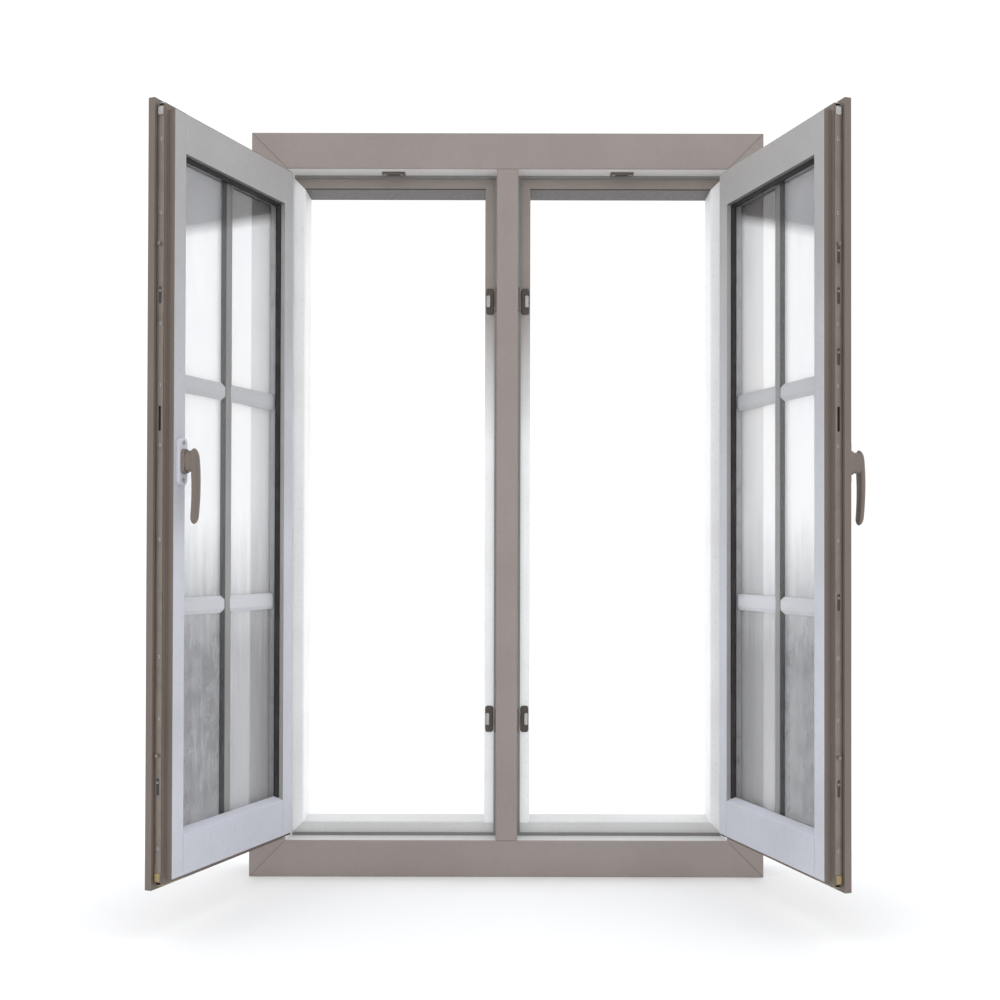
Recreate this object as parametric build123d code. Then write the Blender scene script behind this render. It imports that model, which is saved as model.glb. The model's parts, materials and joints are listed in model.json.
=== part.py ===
from build123d import *
import os

# A two-leaf casement window in aluminium with a fixed mullion. Both sashes
# are flush with the room side of the frame, turn on lift-off hinges at the
# jambs, and stand open. Millimetres: X to the right as seen from the room,
# Y towards outdoors, Z up. The origin is on the underside of the sill, at
# mid width and mid depth of the frame.

# Outer frame
frame_width = 1000.0
frame_height = 1450.0
frame_depth = 120.0
frame_face = 70.0  # room-side face of head, sill and jambs
rebate_depth = 48.0  # from the room-side face back to the stop
stop_height = 26.0  # how far the stop stands out past the face
mullion_face = 42.0
mullion_stop = 24.0
edge_chamfer = 2.0
fixing_hole_radius = 3.25
fixing_hole_inset = 250.0  # from each end of a jamb
fixing_hole_setback = 30.0  # behind the room-side face
seal_width = 5.0
seal_depth = 6.0

# Keeps that the locking bolts enter
keep_length = 45.0
keep_depth = 16.0
keep_thickness = 4.0
keep_setback = 18.0  # behind the room-side face
keep_slot_length = 24.0
keep_slot_width = 7.0
low_keep_height = 300.0  # above the underside of the sill
high_keep_drop = 320.0  # below the top of the head

# Sashes: a flange on the room side, then two steps back to the outer face
sash_gap = 13.0  # between flange and frame, all round
flange_thickness = 12.0
middle_thickness = 15.0
outer_thickness = 13.0
step = 8.5  # each step is this much smaller than the one before
stile_face = 28.0  # outer face of a stile
rail_face = 65.0  # outer face of a rail
lip_width = 14.0  # the outer lip that holds the glass
left_opening = 111.7  # degrees from closed, as the window stands
right_opening = 108.9

# Double glazing
bead_thickness = 6.0
pane_thickness = 4.0
pane_cavity = 10.0
glass_clearance = 3.0  # between glass edge and rebate
seal_thickness = 2.0
seal_sight = 1.0  # how far the glass seal shows past the lip
seal_cover = 6.0  # how far it runs under the lip
spacer_sight = 1.0
spacer_inset = 2.0  # from the edge of the glass

# Glazing bars between the panes
bar_width = 30.0
bar_crown = 16.0
bar_thickness = 8.0
bar_edge = 1.5  # thickness left at the edges
pane_rows = 3

# Lift-off hinges
axis_setout = 8.0  # from the rebate out over the jamb's face
axis_stand = 9.0  # in front of the jamb's face
knuckle_radius = 5.5
knuckle_height = 45.0
pin_radius = 3.0
pin_clearance = 0.3
leaf_thickness = 3.0
leaf_length = 38.0
low_hinge_height = 230.0  # above the underside of the sill
high_hinge_drop = 280.0  # below the top of the head

# Lever handles
handle_height = 777.0
left_handle_inset = 16.0  # from the free edge of the outer face
right_handle_inset = 19.0  # from the free edge of the flange
rose_width = 22.0
rose_height = 78.0
rose_depth = 7.0
rose_corner = 9.0
rose_edge = 1.5
collar_width = 19.0
collar_height = 42.0
collar_depth = 7.0  # stands on the rose
collar_taper = 12.0  # degrees
lever_clearance = 0.3
neck_width = 16.0
neck_height = 34.0
neck_corner = 7.0
lever_width = 18.0
lever_thickness = 11.0
lever_rise = 21.0  # axis to top
lever_drop = 102.0  # axis to tip
lever_stand = 37.0  # from the sash to the lever's outer side
lever_bow = 4.0  # how far top and tip curve back towards the sash
lever_edge = 0.3  # chamfer of its long edges, as a share of the thickness there
lever_sections = (  # way down, fullness
    (0, 0.5),
    (0.06, 0.9),
    (0.3, 1),
    (0.65, 0.95),
    (0.93, 0.8),
    (1, 0.45),
)

# Lock faceplate and bolts, in the groove round the sash
groove_width = 9.0
groove_depth = 8.0
faceplate_width = 13.0
faceplate_thickness = 2.0
faceplate_low_reach = 204.0  # past the low bolt
faceplate_high_reach = 224.0  # past the high bolt
faceplate_slot_length = 41.0
faceplate_slot_width = 5.0
faceplate_slot_rise = 69.0  # above the lever's axis
bolt_radius = 3.0
bolt_height = 4.0

# Places that follow from the sizes above
half_width = frame_width / 2
front = -frame_depth / 2
back = frame_depth / 2
stop_front = front + rebate_depth
full_face = frame_face + stop_height
rebate_edge = half_width - frame_face
mullion_edge = mullion_face / 2
mullion_stop_edge = mullion_edge + mullion_stop
head_underside = frame_height - frame_face
high_keep_height = frame_height - high_keep_drop
high_hinge_height = frame_height - high_hinge_drop
sash_thickness = flange_thickness + middle_thickness + outer_thickness
sash_outer = front + sash_thickness
hinge_edge = -(rebate_edge - sash_gap)  # free and hinge edges of the left flange
free_edge = -(mullion_edge + sash_gap)
sash_low = frame_face + sash_gap
sash_high = head_underside - sash_gap
body_inset = 2 * step
stile_sight = body_inset + stile_face  # from flange edge to visible glass
rail_sight = body_inset + rail_face
glass_inner = front + bead_thickness
glass_outer = glass_inner + 2 * pane_thickness + pane_cavity
lip_inner = glass_outer + seal_thickness
groove_centre = front + flange_thickness + middle_thickness / 2
axis_x = -(rebate_edge + axis_setout)
axis_y = front - axis_stand


def block(x_range, y_range, z_range):
    """Box between a low and a high limit on each axis."""
    low = Vector(x_range[0], y_range[0], z_range[0])
    high = Vector(x_range[1], y_range[1], z_range[1])
    return Pos(*((low + high) / 2)) * Box(*(high - low))


def along_x(outline, low, high):
    """Prism along X from (y, z) points."""
    face = Plane.YZ * make_face(Polyline(*outline, close=True))
    return extrude(Pos(low, 0, 0) * face, amount=high - low, dir=(1, 0, 0))


def along_y(outline, low, high):
    """Prism along Y from (x, z) points."""
    face = Plane.XZ * make_face(Polyline(*outline, close=True))
    return extrude(Pos(0, low, 0) * face, amount=high - low, dir=(0, 1, 0))


def along_z(outline, low, high):
    """Prism along Z from (x, y) points."""
    face = make_face(Polyline(*outline, close=True))
    return extrude(Pos(0, 0, low) * face, amount=high - low, dir=(0, 0, 1))


def together(pieces):
    """One node of several solids."""
    return Part() + pieces


def frame_profile():
    """Section of head, sill and jamb as (distance from the outer edge, y)."""
    return [
        (0, front),
        (frame_face - edge_chamfer, front),
        (frame_face, front + edge_chamfer),
        (frame_face, stop_front),
        (full_face - edge_chamfer, stop_front),
        (full_face, stop_front + edge_chamfer),
        (full_face, back - edge_chamfer),
        (full_face - edge_chamfer, back),
        (0, back),
    ]


def frame_sill():
    """Bottom member, mitred at 45 degrees at both ends."""
    bar = along_x([(y, across) for across, y in frame_profile()], -half_width, half_width)
    mitre = [
        (-half_width, 0),
        (half_width, 0),
        (half_width - full_face, full_face),
        (full_face - half_width, full_face),
    ]
    return bar & along_y(mitre, front, back)


def frame_head():
    """Top member, the sill's section turned over."""
    return mirror(frame_sill(), about=Plane((0, 0, frame_height / 2), z_dir=(0, 0, 1)))


def left_jamb():
    """Left member, mitred at both ends, with holes for the fixing screws."""
    bar = along_z([(across - half_width, y) for across, y in frame_profile()], 0, frame_height)
    mitre = [
        (-half_width, 0),
        (full_face - half_width, full_face),
        (full_face - half_width, frame_height - full_face),
        (-half_width, frame_height),
    ]
    jamb = bar & along_y(mitre, front, back)
    for height in (fixing_hole_inset, frame_height - fixing_hole_inset):
        middle = Pos(-half_width + frame_face / 2, front + fixing_hole_setback, height)
        jamb -= middle * Rot(0, 90, 0) * Cylinder(fixing_hole_radius, frame_face)
    return jamb


def mullion():
    """Fixed post between the two lights, butted into head and sill."""
    right_half = [
        (mullion_edge - edge_chamfer, front),
        (mullion_edge, front + edge_chamfer),
        (mullion_edge, stop_front),
        (mullion_stop_edge - edge_chamfer, stop_front),
        (mullion_stop_edge, stop_front + edge_chamfer),
        (mullion_stop_edge, back - edge_chamfer),
        (mullion_stop_edge - edge_chamfer, back),
    ]
    left_half = [(-x, y) for x, y in reversed(right_half)]
    post = along_z(right_half + left_half, 0, frame_height)
    return post - frame_sill() - frame_head()


def left_frame_seal():
    """Soft seal in the corner of the stop, round the left light."""
    outer = block(
        (-rebate_edge, -mullion_edge),
        (stop_front - seal_depth, stop_front),
        (frame_face, head_underside),
    )
    inner = block(
        (seal_width - rebate_edge, -mullion_edge - seal_width),
        (front, back),
        (frame_face + seal_width, head_underside - seal_width),
    )
    return outer - inner


def keep_plate():
    """Keep lying in XY with its slot along X and its back on Z = 0."""
    plate = block((-keep_length / 2, keep_length / 2), (0, keep_depth), (-keep_thickness, 0))
    plate = chamfer(plate.faces().sort_by(Axis.Z)[0].edges(), keep_thickness / 4)
    slot = extrude(SlotOverall(keep_slot_length, keep_slot_width), keep_thickness, both=True)
    return plate - Pos(0, keep_depth / 2, 0) * slot


def left_head_keep():
    """Keep under the head, in the middle of the left light."""
    return Pos((hinge_edge + free_edge) / 2, front + keep_setback, head_underside) * keep_plate()


def left_mullion_keeps():
    """Two keeps on the mullion's left side."""
    upright = Rot(0, -90, 0) * keep_plate()
    plate = mirror(upright, about=Plane.YZ)
    heights = (low_keep_height, high_keep_height)
    return together([Pos(-mullion_edge, front + keep_setback, height) * plate for height in heights])


def sash_profile(visible):
    """Stepped section of a sash member, with its hardware groove and glazing
    rebate, as (distance from the flange edge, y)."""
    sight = body_inset + visible
    return [
        (0, front),
        (0, front + flange_thickness),
        (step, front + flange_thickness),
        (step, groove_centre - groove_width / 2),
        (step + groove_depth, groove_centre - groove_width / 2),
        (step + groove_depth, groove_centre + groove_width / 2),
        (step, groove_centre + groove_width / 2),
        (step, sash_outer - outer_thickness),
        (body_inset, sash_outer - outer_thickness),
        (body_inset, sash_outer),
        (sight, sash_outer),
        (sight, lip_inner),
        (sight - lip_width, lip_inner),
        (sight - lip_width, front),
    ]


def stepped_ends():
    """Outline of the whole sash seen from its side, as a prism across it."""
    rising = [
        (front, sash_low),
        (front + flange_thickness, sash_low),
        (front + flange_thickness, sash_low + step),
        (sash_outer - outer_thickness, sash_low + step),
        (sash_outer - outer_thickness, sash_low + body_inset),
        (sash_outer, sash_low + body_inset),
    ]
    falling = [(y, sash_low + sash_high - z) for y, z in reversed(rising)]
    return along_x(rising + falling, hinge_edge, free_edge)


def hinge_stile():
    """Full-height member on the hinge side."""
    outline = [(hinge_edge + across, y) for across, y in sash_profile(stile_face)]
    return along_z(outline, sash_low, sash_high) & stepped_ends()


def lock_stile():
    """Full-height member on the free side."""
    outline = [(free_edge - across, y) for across, y in sash_profile(stile_face)]
    return along_z(outline, sash_low, sash_high) & stepped_ends()


def bottom_rail():
    """Member butted between the stiles."""
    outline = [(y, sash_low + across) for across, y in sash_profile(rail_face)]
    reach = stile_sight - lip_width
    rail = along_x(outline, hinge_edge + reach, free_edge - reach)
    return rail - hinge_stile() - lock_stile()


def top_rail():
    """The bottom rail's section turned over."""
    return mirror(bottom_rail(), about=Plane((0, 0, (sash_low + sash_high) / 2), z_dir=(0, 0, 1)))


def sash_panel(inset, y_range):
    """Sheet across the sash whose edges lie this far inside the visible glass."""
    return block(
        (hinge_edge + stile_sight + inset, free_edge - stile_sight - inset),
        y_range,
        (sash_low + rail_sight + inset, sash_high - rail_sight - inset),
    )


def sash_ring(outer_inset, inner_inset, y_range):
    """Ring round the glass between two distances from the visible edge."""
    return sash_panel(outer_inset, y_range) - sash_panel(inner_inset, (front, back))


def glass_panes():
    """Room-side and outer pane of the sealed unit."""
    inset = glass_clearance - lip_width
    room_pane = sash_panel(inset, (glass_inner, glass_inner + pane_thickness))
    outer_pane = sash_panel(inset, (glass_outer - pane_thickness, glass_outer))
    return together([room_pane, outer_pane])


def glass_spacer():
    """Dark spacer between the panes, round their edge."""
    y_range = (glass_inner + pane_thickness, glass_outer - pane_thickness)
    return sash_ring(glass_clearance - lip_width + spacer_inset, spacer_sight, y_range)


def glass_seal():
    """Seal between the outer pane and the lip."""
    return sash_ring(-seal_cover, seal_sight, (glass_outer, lip_inner))


def glazing_bead():
    """Bead that holds the glass from the room side, mitred into one ring."""
    return sash_ring(-lip_width, 0, (front, glass_inner))


def bar_section(centre):
    """Flat-crowned section of a bar in the middle of the cavity, as (across, y)."""
    middle = (glass_inner + glass_outer) / 2
    right_side = [
        (bar_crown / 2, -bar_thickness / 2),
        (bar_width / 2, -bar_edge / 2),
        (bar_width / 2, bar_edge / 2),
        (bar_crown / 2, bar_thickness / 2),
    ]
    left_side = [(-across, y) for across, y in reversed(right_side)]
    return [(centre + across, middle + y) for across, y in right_side + left_side]


def vertical_bars():
    """Upright bar from spacer to spacer."""
    middle = (hinge_edge + free_edge) / 2
    low = sash_low + rail_sight + spacer_sight
    return along_z(bar_section(middle), low, sash_high - rail_sight - spacer_sight)


def cross_bars():
    """Level bars, scribed to the upright one."""
    low = sash_low + rail_sight
    rise = (sash_high - rail_sight - low) / pane_rows
    reach = stile_sight + spacer_sight
    bars = []
    for row in range(1, pane_rows):
        outline = [(y, z) for z, y in bar_section(low + row * rise)]
        bars.append(along_x(outline, hinge_edge + reach, free_edge - reach))
    return together(bars) - vertical_bars()


def lock_faceplate():
    """Strip over the groove of the free edge, with the lock's slot and bolts."""
    edge = free_edge - step
    plate = block(
        (edge, edge + faceplate_thickness),
        (groove_centre - faceplate_width / 2, groove_centre + faceplate_width / 2),
        (low_keep_height - faceplate_low_reach, high_keep_height + faceplate_high_reach),
    )
    slot_outline = SlotOverall(faceplate_slot_length, faceplate_slot_width)
    slot = extrude(slot_outline, 2 * faceplate_thickness, both=True)
    plate -= Pos(edge, groove_centre, handle_height + faceplate_slot_rise) * Rot(0, 90, 0) * slot
    length = faceplate_thickness + bolt_height
    for height in (low_keep_height, high_keep_height):
        bolt = Rot(0, 90, 0) * Cylinder(bolt_radius, length)
        plate += Pos(edge + length / 2, groove_centre, height) * bolt
    return plate


def frame_hinges():
    """Lower halves of the left hinges: leaf on the jamb, knuckle and pin."""
    halves = []
    for height in (low_hinge_height, high_hinge_height):
        top = height + knuckle_height
        leaf = block((axis_x - leaf_length, axis_x), (front - leaf_thickness, front), (height, top))
        web = block((axis_x - knuckle_radius, axis_x), (axis_y, front), (height, top))
        knuckle_middle = height + knuckle_height / 2
        knuckle = Pos(axis_x, axis_y, knuckle_middle) * Cylinder(knuckle_radius, knuckle_height)
        pin = Pos(axis_x, axis_y, top) * Cylinder(pin_radius, knuckle_height)
        halves.append(leaf + web + knuckle + pin)
    return together(halves)


def sash_hinges():
    """Upper halves of the left hinges: cranked leaf on the flange, bored knuckle."""
    flange_x = hinge_edge - axis_x
    crank_y = axis_stand - leaf_thickness
    crank = [
        (0, leaf_thickness / 2 - knuckle_radius),
        (flange_x + leaf_thickness, crank_y),
        (leaf_length, crank_y),
        (leaf_length, axis_stand),
        (flange_x, axis_stand),
        (0, knuckle_radius - leaf_thickness / 2),
    ]
    outline = [(axis_x + x, axis_y + y) for x, y in crank]
    bore_height = knuckle_height / 2 + leaf_thickness
    halves = []
    for height in (low_hinge_height, high_hinge_height):
        low = height + knuckle_height + pin_clearance
        knuckle = Pos(axis_x, axis_y, low + knuckle_height / 2) * Cylinder(knuckle_radius, knuckle_height)
        bore = Cylinder(pin_radius + pin_clearance, bore_height)
        half = along_z(outline, low, low + knuckle_height) + knuckle
        halves.append(half - Pos(axis_x, axis_y, low + bore_height / 2) * bore)
    return together(halves)


def handle_rose():
    """Backplate with its back on Y = 0 and a tapered collar, about the lever's axis."""
    outline = Plane.XZ * RectangleRounded(rose_width, rose_height, rose_corner)
    plate = extrude(outline, amount=rose_depth, dir=(0, 1, 0))
    plate = chamfer(plate.faces().sort_by(Axis.Y)[-1].edges(), rose_edge)
    base = Plane((0, rose_depth, 0), x_dir=(-1, 0, 0), z_dir=(0, 1, 0))
    collar_outline = RectangleRounded(collar_width, collar_height, rose_corner)
    collar = extrude(base * collar_outline, collar_depth, taper=collar_taper)
    return plate + collar


def handle_lever():
    """Bowed lever that hangs down from its neck, lofted through level sections."""
    sections = []
    for share, fullness in lever_sections:
        bow = lever_bow * (2 * share - 1) ** 2
        height = lever_rise - share * (lever_rise + lever_drop)
        width = fullness * lever_width
        thickness = fullness * lever_thickness
        outline = chamfer(Rectangle(width, thickness).vertices(), lever_edge * thickness)
        sections.append(Pos(0, lever_stand - lever_thickness / 2 - bow, height) * outline)
    seat = rose_depth + collar_depth + lever_clearance
    base = Plane((0, seat, 0), x_dir=(-1, 0, 0), z_dir=(0, 1, 0))
    neck_outline = RectangleRounded(neck_width, neck_height, neck_corner)
    neck = extrude(base * neck_outline, lever_stand - lever_thickness - seat, taper=collar_taper)
    return loft(sections) + neck


def open_left(piece):
    """Turn a piece of the left sash from closed to where it stands."""
    return piece.rotate(Axis((axis_x, axis_y, 0), (0, 0, 1)), -left_opening)


def open_right(piece):
    """Turn a piece of the right sash from closed to where it stands."""
    return piece.rotate(Axis((-axis_x, axis_y, 0), (0, 0, 1)), right_opening)


def to_right(piece):
    """The right-hand copy of a left-hand piece."""
    return mirror(piece, about=Plane.YZ)


def build():
    """All nodes by name, each where it stands."""
    nodes = {
        "frame_head": frame_head(),
        "frame_sill": frame_sill(),
        "frame_jamb_left": left_jamb(),
        "frame_jamb_right": to_right(left_jamb()),
        "mullion": mullion(),
    }
    paired = {
        "frame_seal": left_frame_seal(),
        "head_keep": left_head_keep(),
        "mullion_keeps": left_mullion_keeps(),
        "frame_hinges": frame_hinges(),
    }
    for name, piece in paired.items():
        nodes[name + "_left"] = piece
        nodes[name + "_right"] = to_right(piece)
    sash = {
        "hinge_stile": hinge_stile(),
        "lock_stile": lock_stile(),
        "top_rail": top_rail(),
        "bottom_rail": bottom_rail(),
        "glass": glass_panes(),
        "glass_spacer": glass_spacer(),
        "glass_seal": glass_seal(),
        "glazing_bead": glazing_bead(),
        "vertical_bars": vertical_bars(),
        "cross_bars": cross_bars(),
        "lock_faceplate": lock_faceplate(),
        "sash_hinges": sash_hinges(),
    }
    for name, piece in sash.items():
        nodes["left_" + name] = open_left(piece)
        nodes["right_" + name] = open_right(to_right(piece))
    left_axis_x = free_edge - body_inset - left_handle_inset
    right_axis_x = -free_edge + right_handle_inset
    on_outer_face = Pos(left_axis_x, sash_outer, handle_height)
    on_room_face = Pos(right_axis_x, front, handle_height) * Rot(0, 0, 180)
    for name, piece in (("handle_rose", handle_rose()), ("handle_lever", handle_lever())):
        nodes["left_" + name] = open_left(on_outer_face * piece)
        nodes["right_" + name] = open_right(on_room_face * piece)
    return nodes


os.makedirs("parts", exist_ok=True)
for node_name, node in build().items():
    export_step(node, os.path.join("parts", node_name + ".step"))
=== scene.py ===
import json
import math
from functools import partialmethod

import bmesh
import bpy
from bpy.props import FloatProperty, FloatVectorProperty, IntProperty, PointerProperty
from mathutils import Matrix, Vector


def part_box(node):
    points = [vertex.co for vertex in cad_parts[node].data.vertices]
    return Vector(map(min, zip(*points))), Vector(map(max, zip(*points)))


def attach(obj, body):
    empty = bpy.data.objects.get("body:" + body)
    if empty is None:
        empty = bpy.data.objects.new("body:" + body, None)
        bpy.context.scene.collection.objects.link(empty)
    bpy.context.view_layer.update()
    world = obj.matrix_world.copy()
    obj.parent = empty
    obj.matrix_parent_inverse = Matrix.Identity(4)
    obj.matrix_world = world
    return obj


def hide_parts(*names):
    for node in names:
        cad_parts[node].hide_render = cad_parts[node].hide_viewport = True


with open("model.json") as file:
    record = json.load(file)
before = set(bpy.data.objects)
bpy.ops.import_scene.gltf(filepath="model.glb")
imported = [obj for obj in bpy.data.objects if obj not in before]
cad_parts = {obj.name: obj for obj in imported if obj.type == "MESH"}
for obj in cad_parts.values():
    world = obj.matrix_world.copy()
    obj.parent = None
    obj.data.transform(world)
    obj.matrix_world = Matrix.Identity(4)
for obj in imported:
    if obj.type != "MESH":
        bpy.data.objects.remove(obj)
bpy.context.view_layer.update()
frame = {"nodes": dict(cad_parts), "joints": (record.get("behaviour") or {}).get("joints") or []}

bl_info = {
    "name": "Casement Window Looks",
    "version": (1, 0, 0),
    "blender": (4, 5, 0),
    "location": "View3D > Sidebar > Window",
    "description": "Finishes, small fasteners and stage of a two-leaf aluminium casement window",
    "category": "Object",
}

UP = Vector((0, 0, 1))
OUTDOORS = Vector((0, 1, 0))
RIGHT = Vector((1, 0, 0))
SIDES = {"left": -1, "right": 1}
HINGEWARD, LOCKWARD = 1, -1

# Keeps, hinges and lock strips, in metres.
KEEP_HALF = 0.0225
KEEP_SCREWS = (-0.017, 0.017)
HINGE_KNUCKLE = 0.045
HINGE_PIN = 0.0225
HINGE_SCREWS = (0.011, 0.034)
LEAF_THICKNESS = 0.003
FRAME_LEAF_EDGE = 0.009
SASH_LEAF_EDGE = 0.010
BOLT_REACH = 0.004
STRIP_THICKNESS = 0.002
STRIP_SCREWS = (0.15, 0.36, 0.46, 0.65, 0.802, 0.90, 1.0, 1.18, 1.30)
CAM_HEIGHTS = {"left": (0.25, 1.046), "right": (0.25, 0.55, 0.947, 1.046, 1.112)}
RAIL_STEP = 0.024
SUNK = 0.0005

# Heights and reaches between which painted shade on the coats and painted reflections on the glass change,
# in metres.
SASH_SHADE_HEIGHTS = (0.60, 1.36)
BAR_SHADE_HEIGHTS = (0.60, 0.85)
STOP_SHADE_HEIGHTS = (0.85, 1.15)
# Painted reflections on the glass: the landscape low down, the eaves above a sloping line at the top.
LOW_REFLECTION_HEIGHTS = (0.44, 0.68)
EAVES_REFLECTION_HEIGHTS = (1.140, 1.164)
EAVES_REFLECTION_SLOPE = 0.36
UPRIGHT_BAR_REACH = (0.13, 0.17)
OUTER_PANE_CUT = 0.88


def colour_property(name, description, default):
    """A colour that a user may change."""
    return FloatVectorProperty(
        name=name, description=description, default=default, subtype="COLOR", size=3, min=0.0, max=1.0
    )


def length_property(name, description, default):
    """A length in metres that a user may change."""
    return FloatProperty(
        name=name, description=description, default=default, min=0.0, unit="LENGTH", precision=5
    )


def number_property(name, description, default, **kind):
    """A number that a user may change."""
    return FloatProperty(name=name, description=description, default=default, **kind)


class WindowColours(bpy.types.PropertyGroup):
    """Colours of the coats, seals and metals."""

    frame_taupe: colour_property("Frame room side", "Room side of frame and mullion", (0.30, 0.258, 0.240))
    frame_white: colour_property("Frame rebate", "Rebates of jambs and mullion", (0.94, 0.945, 0.95))
    frame_outer: colour_property("Frame outside", "Weather side of the frame", (0.47, 0.485, 0.53))
    # Painted shade: brown where shade falls on the pale shell of the stops at the head and upper mullion.
    stop_shade_brown: colour_property("Upper stop", "Stops of head and upper mullion", (0.28, 0.243, 0.217))
    sash_white: colour_property("Sash outside", "Coat of the outer side of the sashes", (0.55, 0.565, 0.62))
    # Painted shade: a darker copy of the sashes' outer coat, used towards the top where less light falls.
    sash_top_shade: colour_property("Sash outside, top", "The same coat towards the top", (0.37, 0.36, 0.355))
    # Painted light: a lighter copy of the sashes' outer coat, on the drip beads.
    bead_lit_white: colour_property("Drip beads", "Sloping beads under the panes", (0.66, 0.68, 0.75))
    # Painted shade: a shaded grey copy of the sashes' outer coat, on the stiles' reveals.
    sash_reveal_shade: colour_property("Sash reveal", "Edges of the stiles beside the glass", (0.36, 0.345, 0.335))
    sash_brown: colour_property("Sash room side", "Edges and room side of the sashes", (0.165, 0.132, 0.112))
    # Painted shade: the upright bars take a shaded grey copy of the bars' pale coat.
    upright_bar_shade: colour_property("Upright bars", "Coat of the upright glazing bars", (0.30, 0.295, 0.285))
    bar_pale: colour_property("Cross bars", "Coat of the level glazing bars", (0.68, 0.69, 0.73))
    handle_brown: colour_property("Handles", "Coat of levers and roses", (0.17, 0.138, 0.116))
    keep_brown: colour_property("Keeps", "Coat of the keeps", (0.10, 0.085, 0.075))
    # Black of the glass rubber, also used as the painted black shade strip on the upright bars.
    rubber_and_shade_black: colour_property("Glass seals", "Rubber round the glass", (0.018, 0.017, 0.019))
    rubber_grey: colour_property("Stop seals", "Rubber at head, sill and mullion", (0.23, 0.225, 0.22))
    # Painted light: a paler copy of the stop seals' rubber, at the jambs.
    rubber_lit_pale: colour_property("Jamb seals", "Rubber at the jambs", (0.72, 0.73, 0.74))
    spacer_grey: colour_property("Spacers", "Bars round the edge between the panes", (0.42, 0.425, 0.44))
    # Painted shade: a darker copy of the pale shell, under the head.
    head_shade_grey: colour_property("Head rebate", "Coat of the rebate under the head", (0.62, 0.60, 0.59))
    # Painted shade: a darker copy of the pale shell, at the sill.
    sill_shade_grey: colour_property("Sill rebate", "Coat of rebate and stop at the sill", (0.66, 0.66, 0.655))
    plate_steel: colour_property("Faceplates", "Steel strips on the free edges", (0.26, 0.22, 0.19))
    screw_steel: colour_property("Screws", "Zinc of the screw heads", (0.42, 0.40, 0.38))
    brass: colour_property("Brass", "Lower end pieces of the lock", (0.42, 0.32, 0.15))
    zinc: colour_property("Zinc", "Upper end pieces of the lock", (0.52, 0.51, 0.49))
    # Painted reflections on the glass: a pale sky sheen, the landscape's darker reflection low down and the
    # eaves' darker reflection at the top.
    glass_sky_sheen: colour_property("Glass", "Sheen of the clean part of the panes", (0.95, 0.975, 1.0))
    glass_low_reflection_lock: colour_property("Misted glass", "Film low down by the lock stile", (0.26, 0.265, 0.29))
    glass_low_reflection_hinge: colour_property("Bloomed glass", "Film low down by the hinge stile", (0.47, 0.475, 0.49))
    glass_eaves_reflection_lock: colour_property("Upper glass", "Film at the top by the lock stile", (0.33, 0.335, 0.36))
    glass_eaves_reflection_hinge: colour_property("Upper corner", "Film at the top by the hinge stile", (0.15, 0.15, 0.15))


class WindowSizes(bpy.types.PropertyGroup):
    """Sizes of the small pieces."""

    screw_radius: length_property("Screw head", "Radius of a countersunk head", 0.0034)
    screw_rise: length_property("Screw rise", "How far a head stands proud", 0.0009)
    seam_width: length_property("Seam width", "Width of a sealed joint line", 0.0012)
    seam_rise: length_property("Seam rise", "How far a joint line stands proud", 0.00025)
    lever_width: length_property("Lever width", "Widest part of a lever", 0.018)
    lever_thickness: length_property("Lever thickness", "Thickest part of a lever", 0.011)
    lever_rise: length_property("Lever rise", "Lever axis to its top", 0.021)
    lever_drop: length_property("Lever drop", "Lever axis to its tip", 0.102)
    lever_stand: length_property("Lever stand", "Sash face to the lever's outer side", 0.037)
    lever_bow: length_property("Lever bow", "How far top and tip curve back", 0.004)
    neck_seat: length_property("Neck seat", "Sash face to the foot of the lever's neck", 0.0143)
    rose_depth: length_property("Rose depth", "Thickness of a handle's backplate", 0.007)
    rose_screw_reach: length_property("Rose screws", "Lever axis to each screw of the rose", 0.0305)


class StageSettings(bpy.types.PropertyGroup):
    """Floor, light and camera."""

    floor_grey: number_property("Floor", "Paleness of the floor", 0.97, min=0.0, max=1.0)
    sky_strength: number_property("Sky", "Strength of the all-round light", 1.08, min=0.0)
    top_power: number_property("Top light", "Power of the soft light overhead", 90.0, min=0.0, unit="POWER")
    outdoor_power: number_property("Outdoor light", "Power behind the window", 8.0, min=0.0, unit="POWER")
    image_side: IntProperty(name="Image side", description="Width and height in pixels", default=1000)
    focal_pixels: number_property("Focal length", "In pixels of that image", 1174.4)
    centre_right: number_property("Centre right", "Optical centre, pixels from the left", 520.2)
    centre_down: number_property("Centre down", "Optical centre, pixels from the top", 543.9)
    camera_place: FloatVectorProperty(
        name="Camera",
        description="Where the camera stands",
        default=(0.0260, -2.3488, 0.6263),
        subtype="TRANSLATION",
    )
    camera_tilt: number_property("Tilt", "Above the horizon", 0.0091, subtype="ANGLE")
    camera_roll: number_property("Roll", "About the line of sight", -0.0021, subtype="ANGLE")


def joint_named(name):
    """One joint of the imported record."""
    for joint in frame["joints"]:
        if joint["name"] == name:
            return joint
    raise RuntimeError("no joint " + name)


def axes(x, y, z):
    """Matrix that turns the three axes to those directions."""
    return Matrix((x, y, z)).transposed().to_4x4()


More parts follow.
